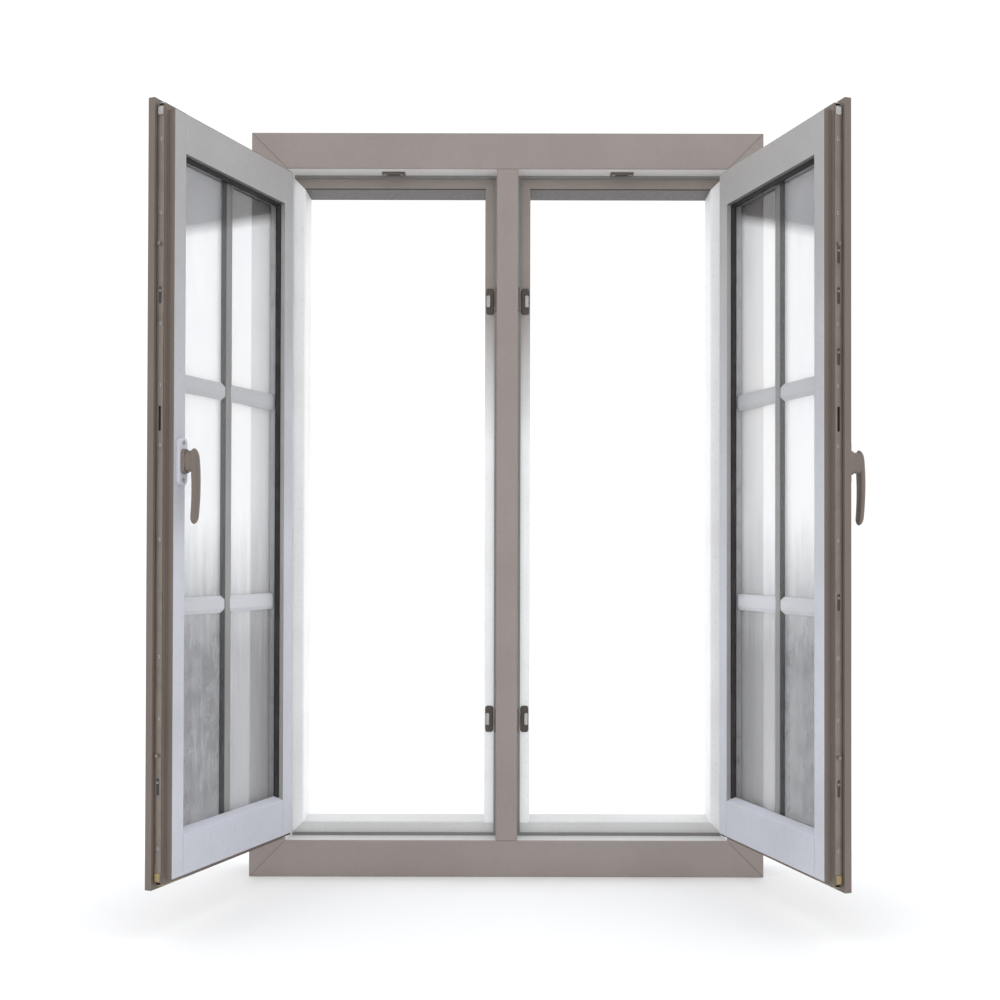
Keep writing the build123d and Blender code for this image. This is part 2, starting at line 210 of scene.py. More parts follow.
class Sash:
    """One sash: places are measured with the sash shut and carried to where it stands."""

    def __init__(self, side):
        self.side = side
        self.sign = SIDES[side]
        self.body = side + "_sash"
        joint = joint_named(side + "_sash_hinge")
        pivot = Matrix.Translation(joint["pos_m"])
        turn = Matrix.Rotation(-math.radians(joint["range_deg"][0]), 4, Vector(joint["axis"]))
        self.to_rest = pivot @ turn @ pivot.inverted()
        self.to_shut = self.to_rest.inverted()

    def node(self, name):
        """Full name of a node of this sash."""
        return self.side + "_" + name

    def shut_box(self, name):
        """Lowest and highest corner of a node of this sash when it is shut."""
        places = [self.to_shut @ v.co for v in frame["nodes"][self.node(name)].data.vertices]
        low = Vector([min(p[axis] for p in places) for axis in range(3)])
        high = Vector([max(p[axis] for p in places) for axis in range(3)])
        return low, high

    def direction(self, shut):
        """A direction given for the shut sash, as it is at rest."""
        return (self.to_rest.to_3x3() @ Vector(shut)).normalized()

    def level(self, place, direction):
        """How far a place on the shut sash lies along a direction at rest."""
        return (self.to_rest @ place).dot(direction)

    def edge(self, name, towards):
        """X of a node's side towards the hinge or the lock, when shut."""
        low, high = self.shut_box(name)
        return high.x if self.sign * towards > 0 else low.x

    def clear_width(self):
        """X of both stiles' sides beside the glass, when shut."""
        return sorted((self.edge("hinge_stile", LOCKWARD), self.edge("lock_stile", HINGEWARD)))

    def strip_place(self, height, depth=BOLT_REACH):
        """Place on the lock strip, that deep behind the tips of its bolts, when shut."""
        low, high = self.shut_box("lock_faceplate")
        tip = self.edge("lock_faceplate", LOCKWARD)
        return Vector((tip + self.sign * depth, (low.y + high.y) / 2, height))

    def on_free_edge(self, place):
        """Matrix of something that lies flat on the free edge, at rest."""
        upright = axes(OUTDOORS * self.sign, UP, RIGHT * -self.sign)
        return self.to_rest @ Matrix.Translation(place) @ upright

    def stile_strip(self, shape, section, edge, inward, face, ends):
        """Strip up a stile, its section in steps inward from the edge and out from the face."""
        rings = [[(edge + inward * step, face + rise, z) for step, rise in section] for z in ends]
        shape.rings(rings, self.to_rest)

    def rail_strip(self, shape, section, foot, face):
        """Strip along a rail, its section in steps up from the foot and out from the face."""
        rings = [[(x, face + rise, foot + step) for step, rise in section] for x in self.clear_width()]
        shape.rings(rings, self.to_rest)


SASHES = tuple(Sash(side) for side in SIDES)


def handle_place(side):
    """Matrix from a handle's own axes (Y away from the sash, Z up) to where it stands."""
    joint = joint_named(side + "_lever_turn")
    away = Vector(joint["axis"]).normalized()
    across = away.cross(UP)
    return Matrix.Translation(joint["pos_m"]) @ axes(across, away, UP)


class Wiring:
    """Wires the nodes of a material or a world."""

    def __init__(self, owner):
        owner.use_nodes = True
        self.tree = owner.node_tree
        self.tree.nodes.clear()
        self.places = self.add("TexCoord")

    def add(self, kind, inputs=None, **settings):
        """New node whose inputs are linked or set by name."""
        node = self.tree.nodes.new("ShaderNode" + kind)
        for key, value in settings.items():
            setattr(node, key, value)
        for key, value in (inputs or {}).items():
            self.feed(node.inputs[key], value)
        return node

    def feed(self, socket, value):
        """Link a socket, or set it."""
        if isinstance(value, bpy.types.NodeSocket):
            self.tree.links.new(value, socket)
        else:
            socket.default_value = value

    def noise(self, scale, detail=2.0, stretch=(1, 1, 1)):
        """Noise in object space, about 1 / scale metres coarse."""
        mapping = self.add("Mapping", {"Vector": self.places.outputs["Object"], "Scale": stretch})
        inputs = {"Vector": mapping.outputs["Vector"], "Scale": scale, "Detail": detail}
        return self.add("TexNoise", inputs).outputs["Fac"]

    def between(self, value, low, high, from_low=0.3, from_high=0.7):
        """A noise or mask spread over a new range."""
        inputs = {"Value": value, "From Min": from_low, "From Max": from_high, "To Min": low, "To Max": high}
        return self.add("MapRange", inputs).outputs["Result"]

    def combine(self, operation, first, second):
        """One sum on two numbers."""
        node = self.add("Math", operation=operation)
        self.feed(node.inputs[0], first)
        self.feed(node.inputs[1], second)
        return node.outputs["Value"]

    over = partialmethod(combine, "GREATER_THAN")
    below = partialmethod(combine, "LESS_THAN")
    plus = partialmethod(combine, "ADD")
    less = partialmethod(combine, "SUBTRACT")
    times = partialmethod(combine, "MULTIPLY")
    either = partialmethod(combine, "MAXIMUM")

    def size(self, value):
        """A number without its sign."""
        return self.combine("ABSOLUTE", value, 0.0)

    def split(self, source):
        """X, Y and Z of a place or a normal."""
        node = self.add("SeparateXYZ", {"Vector": self.places.outputs[source]})
        return node.outputs["X"], node.outputs["Y"], node.outputs["Z"]

    def along(self, direction, source="Object"):
        """How far a place, or how much a normal, lies along a direction."""
        node = self.add("VectorMath", operation="DOT_PRODUCT")
        self.feed(node.inputs[0], self.places.outputs[source])
        node.inputs[1].default_value = direction
        return node.outputs["Value"]

    def mix(self, share, first, second, blend_type="MIX"):
        """Two colours mixed."""
        node = self.add("Mix", data_type="RGBA", blend_type=blend_type)
        self.feed(node.inputs["Factor"], share)
        colours = [socket for socket in node.inputs if socket.type == "RGBA"]
        self.feed(colours[0], first)
        self.feed(colours[1], second)
        return [socket for socket in node.outputs if socket.type == "RGBA"][0]


class Paint(Wiring):
    """A new material with one shader."""

    def __init__(self, name):
        self.material = bpy.data.materials.new(name)
        super().__init__(self.material)
        self.shader = self.add("BsdfPrincipled")
        self.add("OutputMaterial", {"Surface": self.shader.outputs["BSDF"]})

    def set(self, **values):
        """Set or link inputs of the shader, with underscores for spaces."""
        for key, value in values.items():
            self.feed(self.shader.inputs[key.replace("_", " ")], value)

    def rubbed_and_highlit_edges(self, radius):
        """Normal rounded at edges, and a mask of those edges."""
        bevel = self.add("Bevel", {"Radius": radius}, samples=4)
        geometry = self.add("NewGeometry")
        node = self.add("VectorMath", operation="DOT_PRODUCT")
        self.feed(node.inputs[0], bevel.outputs["Normal"])
        self.feed(node.inputs[1], geometry.outputs["Normal"])
        return bevel.outputs["Normal"], self.between(node.outputs["Value"], 1.0, 0.0, 0.72, 0.99)

    def bump(self, height, distance, normal=None):
        """Skin bumps of that depth."""
        inputs = {"Height": height, "Distance": distance, "Strength": 1.0}
        if normal is not None:
            inputs["Normal"] = normal
        return self.add("Bump", inputs).outputs["Normal"]


def opaque(colour):
    """A colour with its alpha."""
    return (*colour, 1.0)


def toned(colour, share):
    """A colour times a share."""
    return tuple(share * part for part in colour)


def powder_coat(paint, colour, roughness=0.42, rub_and_highlight=0.22):
    """Satin powder coat: faint clouds, orange-peel skin and paler edges, partly rubbed wear and partly a
    painted highlight.
    """
    normal, edges = paint.rubbed_and_highlit_edges(0.0009)
    clouds = paint.noise(7.0, 4.0)
    skin = paint.noise(900.0, 1.5)
    specks = paint.noise(160.0, 3.0)
    tint = paint.mix(paint.between(clouds, 0.0, 1.0), (0.94, 0.935, 0.93, 1), (1.04, 1.045, 1.05, 1))
    cloudy = paint.mix(1.0, colour, tint, "MULTIPLY")
    speckled = paint.mix(paint.between(specks, 0.0, 0.10, 0.55, 0.75), cloudy, (0.10, 0.09, 0.08, 1))
    # Paler edges: partly rubbed wear, partly a painted highlight.
    pale = paint.mix(paint.times(edges, rub_and_highlight), speckled, (0.85, 0.84, 0.82, 1))
    paint.set(
        Base_Color=pale,
        Roughness=paint.between(specks, roughness - 0.05, roughness + 0.07),
        Normal=paint.bump(skin, 0.00006, normal),
        Specular_IOR_Level=0.45,
    )
    return paint.material


def plain_coat(name, colour, roughness=0.42):
    """One-colour powder coat."""
    paint = Paint(name)
    return powder_coat(paint, opaque(colour), roughness)


def frame_coat(name, colours, shell, stop=False, shade_heights=None):
    """Two-colour frame coat with the dark thermal break round the frame's outer edges.

    The room side is taupe and the rest has the shell colour. With stop, the stop is painted brown as shade,
    its downward faces in deeper painted shade, and with shade heights only above those heights.
    """
    paint = Paint(name)
    low, high = frame_box()
    stop_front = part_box("frame_seal_left")[1].y
    margin, face_depth, stop_margin = 0.0005, 0.0026, 0.001
    break_middle, break_half = 0.004, 0.013
    x, y, z = paint.split("Object")
    _, normal_y, normal_z = paint.split("Normal")
    sides = paint.over(paint.size(x), high.x - margin)
    ends = paint.either(paint.over(z, high.z - margin), paint.below(z, low.z + margin))
    edge = paint.times(paint.below(paint.size(normal_y), 0.5), paint.either(sides, ends))
    offset = paint.less(y, break_middle)
    strip = paint.times(edge, paint.below(paint.size(offset), break_half))
    room_edge = paint.times(edge, paint.below(offset, 0.0))
    weather_edge = paint.times(edge, paint.over(offset, 0.0))
    room_side = paint.either(paint.below(y, low.y + face_depth), room_edge)
    weather_side = paint.either(paint.over(y, high.y - face_depth), weather_edge)
    shell = opaque(shell)
    if stop:
        # Painted shade: the stop is brown, above the shade heights if given.
        share = paint.over(y, stop_front - stop_margin)
        if shade_heights is not None:
            share = paint.times(share, paint.between(z, 0.0, 1.0, *shade_heights))
        # Painted shade: downward faces of the stop get a fifth of the brown.
        under = paint.below(normal_z, -0.5)
        brown = paint.mix(under, opaque(colours.stop_shade_brown), opaque(toned(colours.stop_shade_brown, 0.2)))
        shell = paint.mix(share, shell, brown)
    shell = paint.mix(weather_side, shell, opaque(colours.frame_outer))
    coat = paint.mix(room_side, shell, opaque(colours.frame_taupe))
    return powder_coat(paint, paint.mix(strip, coat, (0.03, 0.03, 0.032, 1)))


def two_tone_coat(name, room, outside, outward, level):
    """One colour on the outer side of a plane and the room's colour elsewhere."""
    paint = Paint(name)
    outer = paint.over(paint.along(outward), level)
    return powder_coat(paint, paint.mix(outer, opaque(room), opaque(outside)))


def sash_coat(name, colours, outward, level, inward, reveal):
    """Brown room side, pale outer face darkened towards the top by painted shade, and the reveal beside the
    glass in the given tone, which on stiles and top rail is painted shade.
    """
    paint = Paint(name)
    # Painted shade: the pale outer face turns to the darker copy towards the top.
    upper = paint.between(paint.along(UP), 0.0, 1.0, *SASH_SHADE_HEIGHTS)
    pale = paint.mix(upper, opaque(colours.sash_white), opaque(colours.sash_top_shade))
    outer = paint.over(paint.along(outward), level)
    colour = paint.mix(outer, opaque(colours.sash_brown), pale)
    beside_glass = paint.over(paint.along(inward, "Normal"), 0.5)
    return powder_coat(paint, paint.mix(beside_glass, colour, opaque(reveal)))


def bar_coat(name, colours, tone, outward, level, shaded=None, shaded_level=0.0):
    """Brown towards the room, pale outside and darkened towards the top by painted shade, and painted black
    shade past a second plane.
    """
    paint = Paint(name)
    outer = paint.over(paint.along(outward), level)
    # Painted shade: the pale coat darkens towards the top.
    upper = paint.between(paint.along(UP), 0.0, 1.0, *BAR_SHADE_HEIGHTS)
    pale = paint.mix(upper, opaque(tone), opaque(toned(tone, 0.72)))
    colour = paint.mix(outer, opaque(colours.sash_brown), pale)
    # Painted shade: black past the second plane, standing for the bar's shaded side.
    if shaded is not None:
        strip = paint.over(paint.along(shaded), shaded_level)
        colour = paint.mix(strip, colour, opaque(colours.rubber_and_shade_black))
    return powder_coat(paint, colour, rub_and_highlight=0.05)


def rubber(name, colour, lit_side_colour=None, lit_side_reach=0.0):
    """Matte sealing rubber with a fine skin and a light dusting; far out to the sides it is paler, as
    painted light.
    """
    paint = Paint(name)
    skin = paint.noise(700.0, 3.0)
    dust_and_reflection = paint.noise(30.0, 4.0)
    tone = opaque(colour)
    # Painted light: far out to the sides the rubber takes the paler colour.
    if lit_side_colour is not None:
        lit_far_out = paint.over(paint.size(paint.split("Object")[0]), lit_side_reach)
        tone = paint.mix(lit_far_out, tone, opaque(lit_side_colour))
    dusty = paint.mix(paint.between(dust_and_reflection, 0.0, 0.12, 0.45, 0.8), tone, (0.16, 0.155, 0.15, 1))
    paint.set(
        Base_Color=dusty,
        Roughness=paint.between(skin, 0.55, 0.75),
        Normal=paint.bump(skin, 0.0001),
        Specular_IOR_Level=0.35,
    )
    return paint.material


def brushed_metal(name, colour, stretch, metallic=0.85):
    """Drawn or brushed metal with its grain along one axis."""
    paint = Paint(name)
    normal, edges = paint.rubbed_and_highlit_edges(0.0005)
    grain = paint.noise(1500.0, 2.0, stretch)
    stains = paint.noise(45.0, 4.0)
    tone = paint.mix(paint.between(grain, 0.0, 1.0), opaque(toned(colour, 0.72)), opaque(colour))
    stained = paint.mix(paint.between(stains, 0.0, 0.35, 0.5, 0.75), tone, (0.10, 0.085, 0.075, 1))
    # Paler edges: partly worn, partly a painted highlight.
    bright = paint.mix(paint.times(edges, 0.3), stained, (0.75, 0.73, 0.70, 1))
    paint.set(
        Base_Color=bright,
        Metallic=metallic,
        Roughness=paint.between(grain, 0.28, 0.48),
        Normal=paint.bump(grain, 0.00003, normal),
    )
    return paint.material


def clear_glass(name, colours, outward, middle, hingeward, lock_edge):
    """Float glass in two panes; the room pane carries painted reflections: a pale sky sheen, the eaves'
    darker reflection at the top, and the landscape's darker, streaked reflection low down.
    """
    paint = Paint(name)
    height = paint.along(UP)
    reach = paint.less(paint.along(hingeward), lock_edge)
    wipes_and_sheen = paint.noise(14.0, 5.0, (1, 1, 0.35))
    reflection_streaks = paint.noise(60.0, 5.0, (1, 1, 0.05))
    patches = paint.noise(46.0, 7.0, (1, 1, 0.7))
    wavy = paint.plus(height, paint.between(reflection_streaks, -0.05, 0.03))
    # Painted reflection: the landscape's darker reflection low down, with streaks.
    low_reflection_share = paint.between(wavy, 1.0, 0.0, *LOW_REFLECTION_HEIGHTS)
    # Painted reflection: the eaves' reflection above a sloping line.
    dust_and_reflection = paint.between(paint.less(height, paint.times(reach, EAVES_REFLECTION_SLOPE)), 0.0, 1.0, *EAVES_REFLECTION_HEIGHTS)
    side = paint.between(reach, 0.0, 1.0, *UPRIGHT_BAR_REACH)
    # Painted reflection: pale sky sheen, varied by wipe marks.
    clean = paint.mix(paint.between(wipes_and_sheen, 0.0, 1.0), opaque(colours.glass_sky_sheen), (1.0, 1.0, 1.0, 1))
    low_reflection = paint.mix(side, opaque(colours.glass_low_reflection_lock), opaque(colours.glass_low_reflection_hinge))
    # Painted reflection: dark blotches in the low reflection by the lock stile.
    dark_reflection_blotches = paint.times(paint.between(patches, 0.0, 0.75, 0.42, 0.62), paint.less(1.0, side))
    mottle = paint.mix(dark_reflection_blotches, low_reflection, (0.09, 0.09, 0.10, 1))
    eaves_reflection = paint.mix(side, opaque(colours.glass_eaves_reflection_lock), opaque(colours.glass_eaves_reflection_hinge))
    reflection_colour = paint.mix(dust_and_reflection, paint.mix(low_reflection_share, clean, mottle), eaves_reflection)
    thin = paint.between(wipes_and_sheen, 0.44, 0.52)
    extra = paint.times(low_reflection_share, paint.between(reflection_streaks, 0.05, 0.16))
    # How strongly the painted reflections show, through alpha.
    reflection_strength = paint.plus(thin, paint.either(extra, paint.times(dust_and_reflection, 0.12)))
    outer = paint.over(paint.along(outward), middle)
    share = paint.less(1.0, paint.times(outer, OUTER_PANE_CUT))
    paint.set(
        Base_Color=reflection_colour,
        Alpha=paint.times(reflection_strength, share),
        Roughness=paint.between(wipes_and_sheen, 0.02, 0.06, 0.45, 0.8),
        IOR=1.5,
    )
    return paint.material


def dress(node, material):
    """Give a CAD node its finish."""
    slots = frame["nodes"][node].data.materials
    slots.clear()
    slots.append(material)


def frame_box():
    """Lowest and highest corner of the outer frame."""
    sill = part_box("frame_sill")
    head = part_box("frame_head")
    return sill[0], head[1]


class Shape:
    """Points and faces of one mesh piece, gathered from several parts."""

    def __init__(self):
        self.points = []
        self.faces = []

    def add(self, points, faces, place=Matrix()):
        """Add a part, carried to its place."""
        start = len(self.points)
        self.points += [place @ Vector(point) for point in points]
        self.faces += [[start + index for index in face] for face in faces]

    def rings(self, rings, place=Matrix()):
        """Skin over rings of equal count, closed at both ends."""
        count = len(rings[0])
        points = [point for ring in rings for point in ring]
        faces = [list(range(count)), list(range((len(rings) - 1) * count, len(rings) * count))]
        for row in range(len(rings) - 1):
            for index in range(count):
                after = (index + 1) % count
                low, high = row * count, (row + 1) * count
                faces.append([low + index, low + after, high + after, high + index])
        self.add(points, faces, place)

    def piece(self, name, body, slot, material, smooth=False, sharp_angle=35.0):
        """Make the object, on its body and with its finish."""
        mesh = bpy.data.meshes.new(name)
        mesh.from_pydata(self.points, [], self.faces)
        work = bmesh.new()
        work.from_mesh(mesh)
        bmesh.ops.remove_doubles(work, verts=work.verts, dist=1e-7)
        bmesh.ops.recalc_face_normals(work, faces=work.faces)
        work.to_mesh(mesh)
        work.free()
        if smooth:
            mesh.shade_smooth()
            mesh.set_sharp_from_angle(angle=math.radians(sharp_angle))
        mesh.materials.append(material)
        piece = bpy.data.objects.new(name, mesh)
        bpy.context.scene.collection.objects.link(piece)
        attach(piece, body)
        return piece


def facing(place, direction):
    """Matrix that seats something at a place with its Z along a direction."""
    turn = Vector(direction).to_track_quat("Z", "Y").to_matrix().to_4x4()
    return Matrix.Translation(place) @ turn


def screw_rings(radius, rise, segments=32):
    """Countersunk head with a four-lobed driver recess."""
    def ring(reach, height, lobes=0.0):
        turn = [2 * math.pi * i / segments for i in range(segments)]
        reaches = [radius * reach * (1 + lobes * math.cos(4 * a)) for a in turn]
        return [(r * math.cos(a), r * math.sin(a), height) for r, a in zip(reaches, turn)]

    return [
        ring(1.0, -0.2 * rise),
        ring(1.0, 0.35 * rise),
        ring(0.9, 0.75 * rise),
        ring(0.7, 1.0 * rise),
        ring(0.42, 1.0 * rise, 0.36),
        ring(0.36, -0.1 * rise, 0.42),
        ring(0.05, -0.2 * rise),
    ]


def add_screws(name, body, slot, places, material, sizes):
    """Screw heads at places with their directions, as one piece."""
    shape = Shape()
    for place, direction in places:
        shape.rings(screw_rings(sizes.screw_radius, sizes.screw_rise), facing(place, direction))
    return shape.piece(name, body, slot, material, smooth=True)


def hinge_screws(x, feet):
    """Places of the screws in hinge leaves with their feet at those heights."""
    front = frame_box()[0].y - LEAF_THICKNESS
    return [((x, front, foot + step), -OUTDOORS) for foot in feet for step in HINGE_SCREWS]


def seam(shape, start, end, direction, sizes):
    """Half-round line of sealant from start to end on a face with that direction."""
    start, end, out = Vector(start), Vector(end), Vector(direction).normalized()
    side = (end - start).normalized().cross(out) * sizes.seam_width / 2
    rise = out * sizes.seam_rise
    profile = [-side - rise, -side * 0.7 + rise * 0.7, rise, side * 0.7 + rise * 0.7, side - rise]
    shape.rings([[start + p for p in profile], [end + p for p in profile]])


class CASEMENT_OT_coat_frame(bpy.types.Operator):
    """Coat head, sill, jambs and mullion"""

    bl_idname = "casement.coat_frame"
    bl_label = "Coat Frame"

    def execute(self, context):
        colours = context.scene.window_colours
        coat = frame_coat("frame_coat", colours, colours.frame_white)
        for node in ("frame_jamb_left", "frame_jamb_right"):
            dress(node, coat)
        # Painted shade: sill and head take darker copies of the pale shell.
        dress("frame_sill", frame_coat("sill_coat", colours, colours.sill_shade_grey))
        dress("frame_head", frame_coat("head_coat", colours, colours.head_shade_grey, stop=True))
        # Painted shade: the mullion's stop is brown only above the shade heights.
        mullion_coat = frame_coat("mullion_coat", colours, colours.frame_white, stop=True, shade_heights=STOP_SHADE_HEIGHTS)
        dress("mullion", mullion_coat)
        return {"FINISHED"}


class CASEMENT_OT_coat_sashes(bpy.types.Operator):
    """Coat stiles, rails, beads and bars in two colours"""

    bl_idname = "casement.coat_sashes"
    bl_label = "Coat Sashes"

    def execute(self, context):
        colours = context.scene.window_colours
        bead_coat = plain_coat("bead_brown_coat", colours.sash_brown)
        for sash in SASHES:
            self.coat_members(sash, colours)
            self.coat_bars(sash, colours)
            dress(sash.node("glazing_bead"), bead_coat)
        return {"FINISHED"}

    def coat_members(self, sash, colours):
        """Coat stiles and rails, each with a reveal on its inward side: painted shade grey on the stiles,
        deeper painted shade under the top rail, and the outer coat's white on the bottom rail.
        """
        outward = sash.direction(OUTDOORS)
        face_margin = 0.0004
        level = sash.level(sash.shut_box("lock_stile")[1], outward) - face_margin
        # Painted shade on the reveals, half as bright again under the top rail.
        reveal_shade = colours.sash_reveal_shade
        for member, inward, reveal in (
            ("hinge_stile", (-sash.sign, 0, 0), reveal_shade),
            ("lock_stile", (sash.sign, 0, 0), reveal_shade),
            ("top_rail", (0, 0, -1), toned(reveal_shade, 0.5)),
            ("bottom_rail", (0, 0, 1), colours.sash_white),
        ):
            name = sash.node(member)
            direction = sash.direction(inward)
            dress(name, sash_coat(name + "_coat", colours, outward, level, direction, reveal))

    def coat_bars(self, sash, colours):
        """Coat the upright bars in a painted shade grey with a painted black shade strip along their lock
        side, and the cross bars.
        """
        outward = sash.direction(OUTDOORS)
        lockward = sash.direction((-sash.sign, 0, 0))
        low, high = sash.shut_box("glass")
        middle = sash.level((low + high) / 2, outward)
        # Where the painted black shade strip starts on the upright bars.
        low, high = sash.shut_box("vertical_bars")
        strip = sash.level((low + high) / 2, lockward) + 0.2 * (high.x - low.x)
        name = sash.node("vertical_bars")
        coat = bar_coat(name + "_coat", colours, colours.upright_bar_shade, outward, middle, lockward, strip)
        dress(name, coat)
        name = sash.node("cross_bars")
        dress(name, bar_coat(name + "_coat", colours, colours.bar_pale, outward, middle))


class CASEMENT_OT_glaze(bpy.types.Operator):
    """Finish panes, spacers and the seals of glass and stops"""

    bl_idname = "casement.glaze"
    bl_label = "Glaze"

    def execute(self, context):
        colours = context.scene.window_colours
        black = rubber("sealing_rubber", colours.rubber_and_shade_black)
        # Painted light: the stop seals are pale beyond the jamb reach.
        corner_width = 0.006
        jamb_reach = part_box("frame_seal_right")[1].x - corner_width
        stop_seal = rubber("stop_rubber", colours.rubber_grey, colours.rubber_lit_pale, jamb_reach)
        spacer = brushed_metal("spacer_aluminium", colours.spacer_grey, (1, 1, 0.05), 0.4)
        for sash in SASHES:
            outward = sash.direction(OUTDOORS)
            hingeward = sash.direction((sash.sign, 0, 0))
            low, high = sash.shut_box("glass")
            middle = sash.level((low + high) / 2, outward)
            lock_edge = sash.level(low if sash.sign > 0 else high, hingeward)
            glass = clear_glass(sash.node("float_glass"), colours, outward, middle, hingeward, lock_edge)
            dress(sash.node("glass"), glass)
            dress(sash.node("glass_spacer"), spacer)
            dress(sash.node("glass_seal"), black)
            dress("frame_seal_" + sash.side, stop_seal)
        return {"FINISHED"}


class CASEMENT_OT_add_seals(bpy.types.Operator):
    """Press wedge seals round the outer panes and lip seals on the hinge stiles"""

    bl_idname = "casement.add_seals"
    bl_label = "Add Seals"

    def execute(self, context):
        black = bpy.data.materials["sealing_rubber"]
        for sash in SASHES:
            self.wedge_seals(sash, black)
            self.hinge_lip(sash, black)
        return {"FINISHED"}

    def wedge_seals(self, sash, material):
        """Wedges between the outer pane and the reveal, at the top and both sides."""
        glass_face = sash.shut_box("glass")[1].y
        foot = sash.shut_box("bottom_rail")[1].z
        top = sash.shut_box("top_rail")[0].z
        width, rise = 0.006, 0.0075
        back = [(0, rise), (-SUNK, rise), (-SUNK, -SUNK)]
        section = back + [(width, -SUNK), (width, 0.3 * rise), (0.5 * width, 0.85 * rise)]
        shape = Shape()
        for x, inward in zip(sash.clear_width(), (1, -1)):
            sash.stile_strip(shape, section, x, inward, glass_face, (foot + SUNK, top - SUNK))
        sash.rail_strip(shape, [(-step, out) for step, out in section], top, glass_face)
        shape.piece(sash.node("wedge_seals"), sash.body, "seal", material, smooth=True, sharp_angle=30)

    def hinge_lip(self, sash, material):
        """Flat lip on the ledge of the hinge stile, across the gap to the jamb."""
        low, high = sash.shut_box("hinge_stile")
        edge = sash.edge("hinge_stile", HINGEWARD)
        ledge_depth, end_gap = 0.013, 0.009
        root, tip, under = 0.016, 0.0005, -0.0003
        section = [(root, under), (tip, under), (tip, 0.0008), (root, 0.0018)]
        ends = (low.z + end_gap, high.z - end_gap)
        shape = Shape()
        sash.stile_strip(shape, section, edge, -sash.sign, high.y - ledge_depth, ends)
        shape.piece(sash.node("hinge_lip"), sash.body, "seal", material)


class CASEMENT_OT_add_drip_beads(bpy.types.Operator):
    """Lay the sloping beads that shed water off the feet of the outer panes"""

    bl_idname = "casement.add_drip_beads"
    bl_label = "Add Drip Beads"

    def execute(self, context):
        colours = context.scene.window_colours
        rise, nose, face_margin, crest = 0.0085, 0.0007, 0.0004, 0.001
        for sash in SASHES:
            # Painted light: the beads take a lighter copy of the outer coat.
            coat = plain_coat(sash.node("drip_bead_lit_white"), colours.bead_lit_white)
            glass_face = sash.shut_box("glass")[1].y
            foot = sash.shut_box("bottom_rail")[1].z
            reach = sash.shut_box("lock_stile")[1].y - glass_face - face_margin
            back = [(rise, crest), (rise, -SUNK), (-SUNK, -SUNK)]
            section = back + [(-SUNK, reach), (nose, reach), (2 * nose, 0.9 * reach)]
            shape = Shape()
            sash.rail_strip(shape, section, foot, glass_face)
            shape.piece(sash.node("drip_bead"), sash.body, "sash_coat", coat, smooth=True, sharp_angle=30)
        return {"FINISHED"}


class CASEMENT_OT_finish_hardware(bpy.types.Operator):
    """Finish keeps, hinges, faceplates and roses"""

    bl_idname = "casement.finish_hardware"
    bl_label = "Finish Hardware"

    def execute(self, context):
        colours = context.scene.window_colours
        rose_depth = context.scene.window_sizes.rose_depth
        paint_margin = 0.0003
        keep = plain_coat("keep_brown_coat", colours.keep_brown, 0.38)
        hinge = plain_coat("hinge_brown_coat", colours.sash_brown, 0.36)
        strip = brushed_metal("faceplate_steel", colours.plate_steel, (1, 1, 0.02), 0.6)
        for sash in SASHES:
            side = sash.side
            dress("head_keep_" + side, keep)
            dress("mullion_keeps_" + side, keep)
            dress("frame_hinges_" + side, hinge)
            dress(side + "_sash_hinges", hinge)
            dress(side + "_lock_faceplate", strip)
            place = handle_place(side)
            away = place.to_3x3() @ OUTDOORS
            level = place.translation.dot(away) + rose_depth + paint_margin
            outside = away.dot(sash.direction(OUTDOORS)) > 0
            tone = colours.sash_white if outside else colours.handle_brown
            coat = two_tone_coat(side + "_rose_coat", tone, colours.handle_brown, away, level)
            dress(side + "_handle_rose", coat)
        return {"FINISHED"}


def lever_ring(centre, width, depth, count=28, squareness=2.6):
    """Level section of a lever: a softened rectangle."""
    ring = []
    for index in range(count):
        a = 2 * math.pi * index / count
        c, s = math.cos(a), math.sin(a)
        x = math.copysign(abs(c) ** (2 / squareness), c) * width / 2
        y = math.copysign(abs(s) ** (2 / squareness), s) * depth / 2
        ring.append((x, centre[0] + y, centre[1]))
    return ring


def lever_fullness(share):
    """Share of the full section at a share of the way down."""
    top_round, tip_round, least = 0.13, 0.10, 0.06
    taper, taper_start = 0.17, 0.3
    top = min(1.0, share / top_round)
    tip = min(1.0, (1 - share) / tip_round)
    rounded = math.sqrt(max(0.0, 1 - (1 - top) ** 2)) * math.sqrt(max(0.0, 1 - (1 - tip) ** 2))
    return max(least, rounded) * (1.0 - taper * max(0.0, share - taper_start))


def lever_shape(sizes):
    """Smooth bowed lever with its neck."""
    shape = Shape()
    length = sizes.lever_rise + sizes.lever_drop
    steps = 48
    rings = []
    for step in range(steps + 1):
        share = 0.5 - 0.5 * math.cos(math.pi * step / steps)
        bow = sizes.lever_bow * (2 * share - 1) ** 2
        centre = (sizes.lever_stand - sizes.lever_thickness / 2 - bow, sizes.lever_rise - share * length)
        full = lever_fullness(share)
        rings.append(lever_ring(centre, full * sizes.lever_width, full * sizes.lever_thickness))
    shape.rings(rings)
    neck = []
    neck_width, neck_height, neck_flare, neck_steps = 0.0155, 0.034, 0.10, 6
    foot = sizes.neck_seat
    reach = sizes.lever_stand - sizes.lever_thickness * 0.75
    for step in range(neck_steps + 1):
        share = step / neck_steps
        waist = 1.0 + neck_flare * share * share
        level = foot + share * (reach - foot)
        ring = lever_ring((0, 0), neck_width * waist, neck_height * waist)
        neck.append([(x, level, y) for x, y, _ in ring])
    shape.rings(neck)
    return shape


